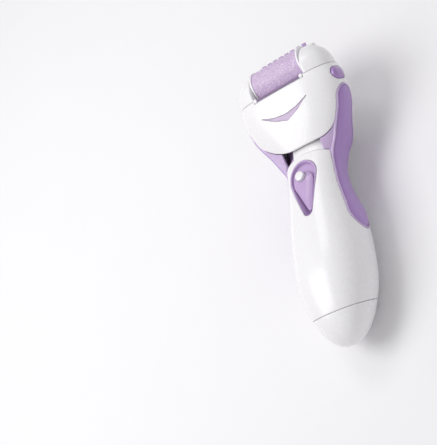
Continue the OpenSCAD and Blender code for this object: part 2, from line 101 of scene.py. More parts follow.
def make_camera():
    """The camera, looking at the front and the right side with the head up and to the left."""
    azimuth, elevation, roll = CAMERA_AZIMUTH, CAMERA_ELEVATION, CAMERA_ROLL
    back = Vector((math.sin(azimuth) * math.cos(elevation), -math.cos(azimuth) * math.cos(elevation),
                   math.sin(elevation)))
    level = Vector((math.cos(azimuth), math.sin(azimuth), 0))
    upright = back.cross(level)
    right = math.cos(roll) * level + math.sin(roll) * upright
    up = -math.sin(roll) * level + math.cos(roll) * upright
    z_axis = (back + AIM_LEFT * right + AIM_DOWN * up).normalized()
    x_axis = up.cross(z_axis).normalized()
    turn = Matrix((x_axis, z_axis.cross(x_axis), z_axis)).transposed().to_4x4()
    data = bpy.data.cameras.new("camera")
    data.lens, data.sensor_width, data.sensor_fit = CAMERA_LENS, CAMERA_SENSOR, "AUTO"
    data.clip_start, data.clip_end = 0.01, 20
    camera = bpy.data.objects.new("camera", data)
    camera.matrix_world = Matrix.Translation(CAMERA_TARGET + back * CAMERA_DISTANCE) @ turn
    bpy.context.scene.collection.objects.link(camera)
    bpy.context.scene.camera = camera


make_camera()


# ---- materials ------------------------------------------------------------------------------

def linear(r, g, b):
    """sRGB 0..1 to scene linear."""
    return tuple(c / 12.92 if c <= 0.04045 else ((c + 0.055) / 1.055) ** 2.4 for c in (r, g, b))


class Nodes:
    """Short calls for one material's node tree."""

    def __init__(self, name):
        self.material = bpy.data.materials.new(name)
        self.material.use_nodes = True
        self.tree = self.material.node_tree
        self.tree.nodes.clear()
        self.out = self.new("ShaderNodeOutputMaterial")
        self.bsdf = self.new("ShaderNodeBsdfPrincipled")
        self.link(self.bsdf, "BSDF", self.out, "Surface")
        self.where = self.new("ShaderNodeTexCoord")

    def new(self, kind, **inputs):
        """A node with its inputs set; an underscore stands for a space in an input's name."""
        node = self.tree.nodes.new(kind)
        for key, value in inputs.items():
            node.inputs[key.replace("_", " ")].default_value = value
        return node

    def link(self, a, out, b, into):
        self.tree.links.new(a.outputs[out], b.inputs[into])

    def noise(self, size_mm, detail, stretch=(1, 1, 1)):
        """Object-space noise whose features are about size_mm across."""
        mapping = self.new("ShaderNodeMapping")
        mapping.inputs["Scale"].default_value = [s / (size_mm * MM) for s in stretch]
        noise = self.new("ShaderNodeTexNoise", Scale=1.0, Detail=detail, Roughness=0.55)
        self.link(self.where, "Object", mapping, "Vector")
        self.link(mapping, "Vector", noise, "Vector")
        return noise

    def ramp(self, source, out, stops):
        """A colour ramp with (place, colour) stops."""
        ramp = self.new("ShaderNodeValToRGB")
        elements = ramp.color_ramp.elements
        while len(elements) < len(stops):
            elements.new(0.5)
        for element, (place, colour) in zip(elements, stops):
            element.position, element.color = place, (*colour, 1)
        self.link(source, out, ramp, "Fac")
        return ramp

    def spread(self, source, out, low, high):
        """Maps 0.3..0.7 of a noise to low..high."""
        node = self.new("ShaderNodeMapRange")
        for key, value in (("From Min", 0.3), ("From Max", 0.7), ("To Min", low), ("To Max", high)):
            node.inputs[key].default_value = value
        self.link(source, out, node, "Value")
        return node

    def bump(self, source, out, strength, depth_mm, before=None):
        """A bump for the surface's normal, laid over the bump before it."""
        bump = self.new("ShaderNodeBump", Strength=strength, Distance=depth_mm * MM)
        self.link(source, out, bump, "Height")
        if before:
            self.link(before, "Normal", bump, "Normal")
        self.link(bump, "Normal", self.bsdf, "Normal")
        return bump


def shade(colour, factor):
    """A colour made darker or lighter, no lighter than white."""
    return tuple(min(1.0, c * factor) for c in colour)


def moulded(name, colour, rough=0.28, vary=0.05, coat=0.0, grain_mm=0.5, grain=0.02, spread=0.06,
            metallic=0.0, wave=0.03, sheen=0.0):
    """Moulded plastic or metal: slight drifts of colour and gloss, fine grain, a faint sink wave."""
    n = Nodes(name)
    base = linear(*colour)
    drift, fine = n.noise(9, 4), n.noise(grain_mm, 2)
    stops = [(0.25, shade(base, 1 - vary)), (0.55, base), (0.8, shade(base, 1 + vary / 2))]
    ramp = n.ramp(drift, "Fac", stops)
    n.link(ramp, "Color", n.bsdf, "Base Color")
    smear = n.noise(4, 5, (1, 0.5, 1))
    rough_map = n.spread(smear, "Fac", rough - spread, rough + spread)
    n.link(rough_map, "Result", n.bsdf, "Roughness")
    sink = n.bump(n.noise(14, 1), "Fac", wave, 1.0)
    n.bump(fine, "Fac", grain, 0.12, sink)
    n.bsdf.inputs["Metallic"].default_value = metallic
    n.bsdf.inputs["Coat Weight"].default_value = coat
    n.bsdf.inputs["Coat Roughness"].default_value = 0.12
    n.bsdf.inputs["Sheen Weight"].default_value = sheen
    n.bsdf.inputs["IOR"].default_value = 1.48
    return n.material


GRIT_SIZE = 0.33


def abrasive():
    """Mineral grit in a lilac binder, with pale crystals."""
    n = Nodes("abrasive_grit")
    grit = n.new("ShaderNodeTexVoronoi", Scale=1.0, Randomness=1.0)
    mapping = n.new("ShaderNodeMapping")
    mapping.inputs["Scale"].default_value = [1 / (GRIT_SIZE * MM)] * 3
    n.link(n.where, "Object", mapping, "Vector")
    n.link(mapping, "Vector", grit, "Vector")
    split = n.new("ShaderNodeSeparateColor")
    n.link(grit, "Color", split, "Color")
    stops = [(0.0, linear(0.72, 0.60, 0.77)), (0.45, linear(0.80, 0.71, 0.84)),
             (0.8, linear(0.85, 0.77, 0.88)), (1.0, linear(0.94, 0.90, 0.95))]
    ramp = n.ramp(split, "Red", stops)
    patches = n.noise(6, 3)
    mix = n.new("ShaderNodeMix")
    mix.data_type, mix.blend_type = "RGBA", "MULTIPLY"
    mix.inputs["Factor"].default_value = 0.35
    tint = n.ramp(patches, "Fac", [(0.3, (0.86, 0.82, 0.9)), (0.7, (1, 1, 1))])
    n.link(ramp, "Color", mix, "A")
    n.link(tint, "Color", mix, "B")
    n.link(mix, "Result", n.bsdf, "Base Color")
    gloss = n.spread(split, "Green", 0.3, 0.62)
    n.link(gloss, "Result", n.bsdf, "Roughness")
    coarse = n.bump(grit, "Distance", 0.3, 0.12)
    n.bump(n.noise(0.15, 2), "Fac", 0.3, 0.08, coarse)
    return n.material


def floor_material():
    """Matt off-white."""
    n = Nodes("studio_floor")
    base = linear(0.945, 0.942, 0.95)
    ramp = n.ramp(n.noise(60, 3), "Fac", [(0.3, shade(base, 0.99)), (0.7, base)])
    n.link(ramp, "Color", n.bsdf, "Base Color")
    n.bsdf.inputs["Roughness"].default_value = 0.7
    n.bsdf.inputs["Specular IOR Level"].default_value = 0.1
    return n.material


WHITE = moulded("gloss_white", (0.945, 0.94, 0.95), rough=0.27, vary=0.008, coat=0.2, wave=0.008,
                spread=0.02, grain=0.008)
SATIN_WHITE = moulded("satin_white", (0.94, 0.93, 0.95), rough=0.36, vary=0.015, coat=0.1)
LILAC = moulded("lilac_trim", (0.80, 0.71, 0.86), rough=0.3, vary=0.03, coat=0.2)
LILAC_MARK = moulded("lilac_mark", (0.78, 0.70, 0.82), rough=0.35, vary=0.03)
LILAC_DARK = moulded("lilac_comb", (0.63, 0.51, 0.71), rough=0.35, vary=0.04, coat=0.1)
LILAC_PAD = moulded("lilac_slider", (0.755, 0.65, 0.82), rough=0.3, vary=0.03, coat=0.3, grain=0.03)
# a mid purple that paints the shade in the gap under the head and in the gap below the roller
PAINTED_SHADE_PURPLE = moulded("painted_shade_purple", (0.50, 0.41, 0.56), rough=0.45, vary=0.06)
GRIP = moulded("purple_grip", (0.68, 0.545, 0.79), rough=0.36, vary=0.05, coat=0.15, grain_mm=0.35,
               grain=0.09, wave=0.05, sheen=0.05)
BUTTON = moulded("purple_button", (0.66, 0.52, 0.76), rough=0.28, vary=0.04, coat=0.35)
RUBBER = moulded("purple_rubber", (0.60, 0.50, 0.68), rough=0.6, vary=0.07, grain_mm=0.3, grain=0.3)
ABRASIVE = abrasive()
STEEL = moulded("brushed_steel", (0.77, 0.775, 0.79), rough=0.28, vary=0.05, metallic=1.0, grain=0.05)
BRASS = moulded("brass", (0.80, 0.67, 0.37), rough=0.3, vary=0.07, metallic=1.0)
COPPER = moulded("copper_windings", (0.75, 0.46, 0.30), rough=0.35, vary=0.12, metallic=1.0, grain=0.2)
BOARD = moulded("green_board", (0.22, 0.42, 0.30), rough=0.4, vary=0.12, coat=0.3)
DARK = moulded("dark_plastic", (0.20, 0.185, 0.215), rough=0.42, vary=0.12)
GEAR = moulded("gear_nylon", (0.90, 0.89, 0.86), rough=0.42, vary=0.04)
CELL = moulded("cell_sleeve", (0.52, 0.42, 0.62), rough=0.25, vary=0.05, coat=0.4)
WIRE = moulded("wire_cover", (0.70, 0.16, 0.15), rough=0.4, vary=0.1)


# ---- smooth forms ---------------------------------------------------------------------------

# Handle sections: y, half width, depth above and below the widest height, that height, and how
# much the underside narrows
HANDLE_STATIONS = [
    [-90.6, 0.5, 0.45, 0.45, 20, 0], [-90, 4, 3.6, 3.6, 20, 0], [-88.5, 7.1, 6.4, 6.4, 20.2, 0],
    [-85.5, 10.4, 9.4, 9.4, 20.4, 0], [-81, 13.6, 12.4, 12.4, 20.6, 0],
    [-75, 16.6, 15.2, 15.2, 20.8, 0], [-67, 19.5, 17.8, 17.8, 21, 0], [-56, 22.2, 20, 20, 21, 0],
    [-44, 23.2, 20.7, 20.7, 21, 0], [-30, 23.1, 20.6, 20.6, 21, 0], [-15, 22, 20, 20, 21, 0.04],
    [-8, 20.6, 17.8, 21.4, 22.8, 0.24], [0, 18.9, 14.9, 23.3, 25.2, 0.5],
    [7, 18.1, 13.2, 24.3, 26.3, 0.6], [14, 17.7, 12.6, 24.1, 26.4, 0.6],
    [20, 18.3, 12.9, 22.5, 25.3, 0.5], [26, 19.4, 14, 19.4, 23.4, 0.3],
    [36, 21.4, 15.4, 15.4, 21.6, 0], [46, 22, 15, 15, 22.4, 0]]
# Head sections: y, half width, half depth
HEAD_STATIONS = [
    [-5, 23, 17.2], [3, 27.2, 17.6], [12, 31.8, 17.8], [20, 34.3, 17.6], [28, 35.4, 16.8],
    [34, 34.9, 15.6], [38, 33.4, 14.4]]
HANDLE_POWER, HEAD_POWER = 2.25, 2.6
TIP_SLOPE = 21
# The end caps: their seam with the head, the roller window's half width, then the caps' height,
# width and half depth
SEAM_Y, WINDOW, CAP_HEIGHT, CAP_DOME, CAP_DEPTH = 38.0, 18.4, 16.2, 15.0, 14.4
CAP_POWER = 2.5
WALL = 1.8
# The forms' tables: step along y, and how far the curves are softened
STEP_Y, SOFTEN = 0.1, 0.9
# Where the head's form ends inside the handle, that end's rounding, and the fill at the joint
JOIN_Y, JOIN_R, JOIN_FILL = -7.5, 5.0, 9.0


def spline(rows, per=30):
    """Catmull-Rom curve through the rows, as the CAD's lofts use."""
    rows, out = np.array(rows, float), []
    for k in range(len(rows) - 1):
        a, b, c, d = rows[max(k - 1, 0)], rows[k], rows[k + 1], rows[min(k + 2, len(rows) - 1)]
        for t in np.arange(per) / per:
            out.append(0.5 * (2 * b + (c - a) * t + (2 * a - 5 * b + 4 * c - d) * t * t
                              + (3 * b - a - 3 * c + d) * t ** 3))
    return np.array(out + [rows[-1]])


class Form:
    """A body of superellipse sections along y, as a signed distance in mm that is negative inside.

    The curves along y are depth / half width, depth squared, the widest height, depth / lower depth
    and how much the underside narrows.
    """

    def __init__(self, y, power, *curves):
        half = int(4 * SOFTEN / STEP_Y)
        kernel = np.exp(-0.5 * (np.arange(-half, half + 1) * STEP_Y / SOFTEN) ** 2)
        kernel /= kernel.sum()
        self.y0, self.power, self.tables = y[0], power, []
        for values in curves:
            smooth = np.convolve(np.pad(values, half, "edge"), kernel, "valid")
            self.tables += [smooth, np.gradient(smooth, STEP_Y)]
        self.count = len(y)

    def __call__(self, x, y, z):
        t = np.clip((y - self.y0) / STEP_Y, 0, self.count - 1.001)
        i = t.astype(int)
        t = t - i
        k, dk, q, dq, c, dc, r, _, e, _ = (a[i] * (1 - t) + a[i + 1] * t for a in self.tables)
        n = self.power
        dz = z - c
        under = dz < 0
        stretch = np.where(under, r, 1)
        narrow = np.where(under, 1 - e * np.minimum(dz * dz * r * r / (q + 1), 1.1), 1)
        turn = np.where(under, 2 * e * dz * r * r / (q + 1), 0) / narrow
        ax = np.abs(x) / narrow
        dz = dz * stretch
        az = np.abs(dz)
        a, b = (ax * k) ** (n - 1), az ** (n - 1)
        total = a * ax * k + b * az + 1e-9
        lead = total ** (2 / n - 1)
        value = lead * total - q
        fx, fz = 2 * lead * a * k, 2 * lead * b * np.sign(dz) * stretch
        gx, gz = fx / narrow, fz + fx * ax * turn
        gy = 2 * lead * a * ax * dk - gz * dc - dq
        slope = np.sqrt(gx * gx + gy * gy + gz * gz)
        # the value is quadratic in depth, so the distance is the root of a quadratic
        return 2 * value / (slope + np.sqrt(np.maximum(slope * slope - 4 * value, 0)) + 1e-9)


def handle_form():
    """The handle, with its tip closed off below the first station."""
    rows = spline([[y, d / w, d * d, c, d / low, e] for y, w, d, low, c, e in HANDLE_STATIONS])
    y = np.arange(-100, 60, STEP_Y)
    ratio, square, centre, under, narrow = (np.interp(y, rows[:, 0], rows[:, i]) for i in range(1, 6))
    tip = y < rows[0, 0]
    square[tip] = rows[0, 2] + (y[tip] - rows[0, 0]) * TIP_SLOPE
    return Form(y, HANDLE_POWER, ratio, square, centre, under, narrow)


def head_form():
    """The head, with domed ends above the seam for the two end caps."""
    rows = spline([[y, d / w, d * d] for y, w, d in HEAD_STATIONS])
    y = np.arange(-30, 75, STEP_Y)
    ratio, square = (np.interp(y, rows[:, 0], rows[:, i]) for i in (1, 2))
    cap = y > SEAM_Y
    fall = ((y[cap] - SEAM_Y) / CAP_HEIGHT) ** CAP_POWER
    cosine = np.sqrt(np.maximum(1 - fall, 0))
    ratio[cap] = CAP_DEPTH * cosine / (WINDOW + CAP_DOME * cosine)
    square[cap] = CAP_DEPTH ** 2 * (1 - fall)
    return Form(y, HEAD_POWER, ratio, square, 0 * y, 0 * y + 1, 0 * y)


handle, head = handle_form(), head_form()


def soft_min(a, b, k):
    """Union of two solids with its crease filled over the width k."""
    h = np.maximum(k - np.abs(a - b), 0) / k
    return np.minimum(a, b) - h * h * k / 4


def round_max(a, b, r):
    """Intersection of two solids with its edge rounded to radius r."""
    return (np.minimum(-r, np.maximum(a, b))
            + np.sqrt(np.maximum(r + a, 0) ** 2 + np.maximum(r + b, 0) ** 2))


def meet(r, *forms):
    """Intersection of solids with its edges rounded to radius r."""
    out = forms[0]
    for f in forms[1:]:
        out = round_max(out, f, r)
    return out


def taper(px, py, a, b, ra, rb):
    """Signed distance to the hull of two circles in a plane."""
    length = math.hypot(b[0] - a[0], b[1] - a[1])
    ux, uy = (b[0] - a[0]) / length, (b[1] - a[1]) / length
    qx, qy = px - a[0], py - a[1]
    along, across = qx * ux + qy * uy, np.abs(qy * ux - qx * uy)
    s = (ra - rb) / length
    c = math.sqrt(1 - s * s)
    k = c * along - s * across
    return np.where(k < 0, np.hypot(across, along) - ra,
                    np.where(k > c * length, np.hypot(across, along - length) - rb,
                             across * c + along * s - ra))


# Circles along a grip's side view: y, z, radius
GRIP_PATH = spline([[-17, 21, 9], [2, 21.5, 9.6], [20, 22.4, 8.6], [34, 25.6, 7.6],
                    [51.5, 33.4, 6.4]], per=3)


def grip_outline(y, z):
    """Side view of a grip in the handle's frame."""
    return np.minimum.reduce([taper(y, z, a[:2], b[:2], a[2], b[2])
                              for a, b in zip(GRIP_PATH, GRIP_PATH[1:])])


def whole(x, y, z):
    """Handle and head, flowing into each other, in the handle's frame."""
    yl, zl = to_head(y, z)
    return soft_min(handle(x, y, z), round_max(head(x, yl, zl), JOIN_Y - yl, JOIN_R), JOIN_FILL)


# ---- surface nets ---------------------------------------------------------------------------

CORNERS = np.array([[i, j, k] for i in (0, 1) for j in (0, 1) for k in (0, 1)])
EDGES = [(a, b) for a in range(8) for b in range(a + 1, 8)
         if abs(CORNERS[a] - CORNERS[b]).sum() == 1]
# Blocks of the grid: cells a side, a cube's half diagonal, the steepest slope allowed for, and
# a margin in mm
BLOCK, HALF_DIAGONAL, STEEPEST, MARGIN = 6, 0.87, 1.35, 0.8
NEWTON_STEPS = 3


def sample(f, low, step, shape):
    """Values of f on a grid, worked out only in the blocks that its surface may cross."""
    values = np.empty(shape, np.float32)
    counts = [-(-s // BLOCK) for s in shape]
    centres = np.stack(np.meshgrid(*[low[i] + step * (np.arange(counts[i]) * BLOCK + BLOCK / 2)
                                     for i in range(3)], indexing="ij"), -1)
    middle = f(centres[..., 0], centres[..., 1], centres[..., 2])
    reach = BLOCK * step * HALF_DIAGONAL * STEEPEST + MARGIN
    axes = [low[i] + step * np.arange(shape[i]) for i in range(3)]
    for i in range(counts[0]):
        sx = slice(i * BLOCK, min((i + 1) * BLOCK, shape[0]))
        for j in range(counts[1]):
            sy = slice(j * BLOCK, min((j + 1) * BLOCK, shape[1]))
            near = np.abs(middle[i, j]) < reach
            for k in np.nonzero(~near)[0]:
                values[sx, sy, k * BLOCK:(k + 1) * BLOCK] = middle[i, j, k]
            if near.any():
                first, last = np.nonzero(near)[0][[0, -1]]
                sz = slice(first * BLOCK, min((last + 1) * BLOCK, shape[2]))
                x, y, z = np.meshgrid(axes[0][sx], axes[1][sy], axes[2][sz], indexing="ij")
                values[sx, sy, sz] = f(x, y, z)
    return values


def slope_of(f, p, h=0.02):
    """Gradient of f at the points p."""
    out = np.empty_like(p)
    for axis in range(3):
        d = np.zeros(3)
        d[axis] = h
        out[:, axis] = (f(*(p + d).T) - f(*(p - d).T)) / (2 * h)
    return out


def net(f, low, high, step):
    """Vertices, quads and normals of f = 0 inside a box."""
    low = np.array(low, float)
    shape = [int(math.ceil((b - a) / step)) + 1 for a, b in zip(low, high)]
    values = sample(f, low, step, shape)
    inside = values < 0
    cells = [s - 1 for s in shape]
    count = np.zeros(cells, np.int8)
    for c in CORNERS:
        count += inside[c[0]:c[0] + cells[0], c[1]:c[1] + cells[1], c[2]:c[2] + cells[2]]
    active = (count > 0) & (count < 8)
    at = np.argwhere(active)
    index = np.full(cells, -1, np.int64)
    index[active] = np.arange(len(at))
    corner = np.stack([values[tuple((at + c).T)] for c in CORNERS], 1).astype(float)
    total, hits = np.zeros((len(at), 3)), np.zeros(len(at))
    for a, b in EDGES:
        cross = (corner[:, a] < 0) != (corner[:, b] < 0)
        t = np.where(cross, corner[:, a] / np.where(cross, corner[:, a] - corner[:, b], 1), 0)
        total += np.where(cross[:, None], CORNERS[a] + t[:, None] * (CORNERS[b] - CORNERS[a]), 0)
        hits += cross
    points = low + step * (at + total / hits[:, None])
    quads = []
    for axis in range(3):
        u, v = (axis + 1) % 3, (axis + 2) % 3
        first = [slice(0, None)] * 3
        second = [slice(0, None)] * 3
        first[axis], second[axis] = slice(0, -1), slice(1, None)
        a, b = inside[tuple(first)], inside[tuple(second)]
        for flip, found in ((False, a & ~b), (True, ~a & b)):
            e = np.argwhere(found)
            e = e[(e[:, u] > 0) & (e[:, v] > 0) & (e[:, u] < cells[u]) & (e[:, v] < cells[v])]
            corners = []
            for du, dv in ((-1, -1), (0, -1), (0, 0), (-1, 0)):
                c = e.copy()
                c[:, u] += du
                c[:, v] += dv
                corners.append(index[tuple(c.T)])
            quad = np.stack(corners, 1)
            quads.append(quad[:, ::-1] if flip else quad)
    quads = np.concatenate(quads)
    for _ in range(NEWTON_STEPS):
        g = slope_of(f, points)
        size = np.maximum((g * g).sum(1), 0.05)
        move = -(f(*points.T) / size)[:, None] * g
        reach = np.maximum(np.linalg.norm(move, axis=1), 1e-9)
        points += move * np.minimum(1, 0.6 * step / reach)[:, None]
    g = slope_of(f, points)
    return points, quads, g / np.maximum(np.linalg.norm(g, axis=1), 1e-9)[:, None]


def add_mesh(name, points, faces, place, material, normals=None):
    """A smooth mesh object, carried into the scene's frame by the matrix place."""
    mesh = bpy.data.meshes.new(name)
    mesh.vertices.add(len(points))
    world = np.array(place)
    placed = points @ world[:3, :3].T + world[:3, 3]
    mesh.vertices.foreach_set("co", placed.astype(np.float32).ravel())
    sides = faces.shape[1]
    mesh.loops.add(faces.size)
    mesh.loops.foreach_set("vertex_index", faces.astype(np.int32).ravel())
    mesh.polygons.add(len(faces))
    mesh.polygons.foreach_set("loop_start", np.arange(0, faces.size, sides, dtype=np.int32))
    mesh.polygons.foreach_set("use_smooth", np.ones(len(faces), bool))
    mesh.update(calc_edges=True)
    mesh.validate()
    if normals is not None:
        turned = normals @ (world[:3, :3] / MM).T
        mesh.normals_split_custom_set_from_vertices(turned.tolist())
    mesh.materials.append(material)
    piece = bpy.data.objects.new(name, mesh)
    bpy.context.scene.collection.objects.link(piece)
    return piece


def declare(piece, body, nodes):
    """The piece's body and the CAD nodes it replaces."""
    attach(piece, body)
    if nodes:
        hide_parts(*nodes)


def skin(name, f, low, high, step, place, material, body, nodes=(), mirrored=None):
    """Meshes f, and its mirror image too where mirrored names it."""
    points, quads, normals = net(f, low, high, step)
    declare(add_mesh(name, points, quads, place, material, normals), body, nodes)
    if mirrored:
        other, other_nodes = mirrored
        side = np.array([-1, 1, 1])
        declare(add_mesh(other, points * side, quads[:, ::-1], place, material, normals * side),
                body, other_nodes)


# ---- handle ---------------------------------------------------------------------------------

# The front shell's end towards the neck, and the height where front and rear shell part
RIM_Y, RIM_FALL = 25.2, 0.008
PARTING_Z, NECK_END_Y = 9.5, 43
SEAM_GAP, LID_GAP = 0.15, 0.08
EDGE_R = 0.4
COVER_Y, MIDDLE_Z, COVER_TILT = -70.5, 21.0, math.radians(22)
# Thumb grooves in the battery cover
GROOVE_Y, GROOVE_PITCH, GROOVE_HALF, GROOVE_REACH, GROOVE_DEPTH = -82.5, 2.8, 0.45, 6, 0.35
# Rest pad: its pocket's depth, its own thickness, and its ribs
POCKET_Z, PAD_Z, RIB_PITCH, RIB_HEIGHT = 3.35, 3.2, 3.2, 0.22
# Grips: their inner face, the room around them, and how far they stand out
GRIP_X, GRIP_ROOM, GRIP_DEPTH, GRIP_RISE, GRIP_SINK = 9, 1.1, 1.15, 1.2, 0.45
# Switch recess: its floor and border; the pad's top and rise; the lock button
FLOOR_Z, BORDER = 35.8, 0.62
PAD_TOP_Z, PAD_RISE = 37.55, 1.55
LOCK, LOCK_R, LOCK_TOP_Z, LOCK_DOME = (-2.4, 10.6), 2.9, 41.4, 0.055


def rim(x):
    """The front shell's end towards the neck."""
    return RIM_Y - RIM_FALL * x * x


def cover_plane(y, z):
    """Distance from the battery cover's seam, positive on the handle's side."""
    return (y - COVER_Y) * math.cos(COVER_TILT) + (z - MIDDLE_Z) * math.sin(COVER_TILT)


def grip_room(x, y, z):
    """Room that the grips and their bead need in the skins."""
    return np.maximum(np.maximum(grip_outline(y, z) - GRIP_ROOM, GRIP_X - np.abs(x)),
                      -(whole(x, y, z) + GRIP_DEPTH))


# Teardrop outlines: two centres and their radii
RECESS = ((-1.9, 11.2), (0, -13.6), 9.4, 2.4)
SLIDER = ((-1.9, 7.2), (-0.1, -10.6), 7.3, 2.0)
REST = ((0, -28), (0, 11), 8.0, 4.0)


def recess_outline(x, y):
    """The switch recess, seen from the front."""
    return taper(x, y, *RECESS)


def pad_outline(x, y):
    """The rest pad, seen from the back."""
    return taper(x, y, *REST)


def front_shell(x, y, z):
    """The handle's front, open for the grips and the switch recess."""
    h = handle(x, y, z)
    return meet(EDGE_R, h, -(h + WALL), PARTING_Z + SEAM_GAP - z, LID_GAP - cover_plane(y, z),
                y - rim(x), -grip_room(x, y, z),
                -np.maximum(recess_outline(x, y) - 0.8, MIDDLE_Z - z))


def rear_shell(x, y, z):
    """The handle's back, with a raised pocket for the rest pad."""
    h = handle(x, y, z)
    pad = pad_outline(x, y)
    wall = np.maximum(h, -(h + WALL))
    boss = np.maximum(np.maximum(h + 0.5, z - 4.6), pad - 2)
    return meet(EDGE_R, np.minimum(wall, boss), z - PARTING_Z + SEAM_GAP, LID_GAP - cover_plane(y, z),
                y - NECK_END_Y, -grip_room(x, y, z), -np.maximum(z - POCKET_Z, pad - 0.2))


def cover_shell(x, y, z):
    """The battery cover: the handle's rounded end, with thumb grooves underneath."""
    h = handle(x, y, z)
    half = GROOVE_PITCH / 2
    grooves = np.maximum(np.abs((y - GROOVE_Y + half) % GROOVE_PITCH - half) - GROOVE_HALF,
                         np.abs(x) - GROOVE_REACH)
    grooves = np.maximum(np.maximum(grooves, np.abs(y + 81) - 5.4), z - MIDDLE_Z)
    outer = round_max(h, -np.maximum(grooves, -(h + GROOVE_DEPTH)), 0.2)
    return meet(EDGE_R, outer, -(h + WALL), cover_plane(y, z) + LID_GAP)


def rear_pad(x, y, z):
    """The ribbed rest pad."""
    pad = pad_outline(x, y)
    inward = np.clip(-pad / 1.5 - 0.6, 0, 1)
    ribs = RIB_HEIGHT * np.cos(2 * math.pi * y / RIB_PITCH) * inward
    return meet(0.5, pad + 0.02, z - PAD_Z, -z + 0.02 + RIB_HEIGHT * inward - ribs)


def grip(x, y, z):
    """The right grip, a crowned skin over the handle and the head's cheek."""
    side = grip_outline(y, z)
    u = whole(x, y, z)
    inward = np.clip(-side / 4.0, 0, 1)
    crown = -GRIP_SINK + GRIP_RISE * (1 - (1 - inward) ** 2)
    return meet(0.3, u - crown, side + 0.05, GRIP_X - x, -(u + 1.0))


def head_lip(x):
    """The lower edge of the head's front, which curls up at its corners."""
    return -0.3 + 0.05 * np.maximum(x - 14, 0) ** 2 + 0.02 * np.maximum(-x - 4, 0) ** 2


def head_room(x, y, z):
    """Room that the head's skins need in the neck."""
    yl, zl = to_head(y, z)
    g = head(x, yl, zl)
    return np.maximum(np.maximum(g - 0.4, -(g + WALL + 0.3)), head_lip(x) - 0.5 - yl)


def neck_frame(x, y, z):
    """The bead around each grip, the flange up to the head, and a tongue under the front shell."""
    side, u = grip_outline(y, z), whole(x, y, z)
    ax = np.abs(x)
    bead = meet(0.28, u - 0.25, -(u + 2.0), side - 1.0, -side, 8 - ax)
    h = handle(x, y, z)
    # low down the flange keeps to the handle's own form, so that no fin hangs below the head
    cheek = np.maximum(u, h - np.clip(0.6 * (z - 13), 0, 20))
    flange = meet(0.4, cheek + 0.45, -(cheek + 2.4), rim(x) + 0.25 - y, y - NECK_END_Y,
                  PARTING_Z + 0.3 - z, 13.5 - ax, -head_room(x, y, z), 0.05 - side)
    tongue = meet(0.3, h + 2.1, -(h + 3.4), rim(x) - 4 - y, y - rim(x) - 4, PARTING_Z + 0.3 - z)
    return np.minimum(np.minimum(bead, flange), tongue)


def neck_painted_shade(x, y, z):
    """A dark purple sheet behind the gap under the head: painted shade that stands in for the shadow
    in that gap.
    """
    h = handle(x, y, z)
    return meet(0.3, h + 2.6, -(h + 4.0), rim(x) + 0.5 - y, y - 44, 22 - z, np.abs(x) - 17,
                -head_room(x, y, z))


def neck_collar(x, y, z):
    """The white collar under the head, which stops short of the head's left corner."""
    h = handle(x, y, z)
    return meet(0.4, h + 0.4, -(h + 1.9), rim(x) + 0.25 - y, y - 40, 24 - z, x - 13.2, -7.6 - x,
                -head_room(x, y, z))


def bezel(x, y, z):
    """The switch recess: a sloping border, a floor and the slot for the pad's stem."""
    r = recess_outline(x, y)
    h = handle(x, y, z)
    slope = 0.3 * np.clip(40.5 - z, 0, 6)
    pocket = np.maximum(r + slope - 0.3, FLOOR_Z - z)
    slot = np.maximum(np.abs(x) - 2.3, np.maximum(-3.4 - y, y - 7.9))
    return meet(0.3, h - 0.08, FLOOR_Z - 1 - z, r - BORDER, -pocket, -slot)


def slider(x, y, z):
    """The switch pad, with its stem and the well for the lock button."""
    edge = taper(x, y, *SLIDER)
    inward = np.clip(-edge / 5.5, 0, 1)
    top = PAD_TOP_Z + PAD_RISE * (1 - (1 - inward) ** 2)
    dish = np.hypot(x - LOCK[0], y - LOCK[1])
    pad = meet(0.35, edge + 0.3 * np.maximum(39 - z, 0), (z - top) * 0.93, 36.1 - z)
    stem = np.maximum(np.maximum(np.abs(x) - 2, np.abs(y) - 3), np.maximum(z - 36.3, 30 - z))
    return round_max(np.minimum(pad, stem), -np.maximum(dish - 2.97, 36.7 - z), 0.15)


def lock_button(x, y, z):
    """The round lock button, slightly domed."""
    r = np.hypot(x - LOCK[0], y - LOCK[1])
    return meet(0.35, r - LOCK_R, (z - (LOCK_TOP_Z - LOCK_DOME * r * r)) * 0.96, 38.2 - z)


skin("handle_front", front_shell, (-24, -78, 9), (24, 27.5, 43), 0.5, HANDLE, WHITE, "casing",
     ["handle_front_shell"])
skin("handle_rear", rear_shell, (-24, -78, -0.6), (24, 44, 10.4), 0.5, HANDLE, WHITE, "casing",
     ["handle_rear_shell"])
skin("battery_lid", cover_shell, (-22, -91.6, 2), (22, -60, 40.6), 0.5, HANDLE, WHITE, "battery_door",
     ["battery_cover"])
skin("rest_pad", rear_pad, (-8.6, -36.6, -0.4), (8.6, 16.6, 3.8), 0.4, HANDLE, RUBBER, "casing",
     ["rear_pad"])
skin("grip_side_right", grip, (8.6, -27, 9), (38, 59, 42), 0.5, HANDLE, GRIP, "casing",
     ["grip_right"], ("grip_side_left", ["grip_left"]))
skin("neck_band", neck_frame, (-38.2, -28, 9), (38.2, 60, 43), 0.45, HANDLE, LILAC, "casing",
     ["neck_frame"])
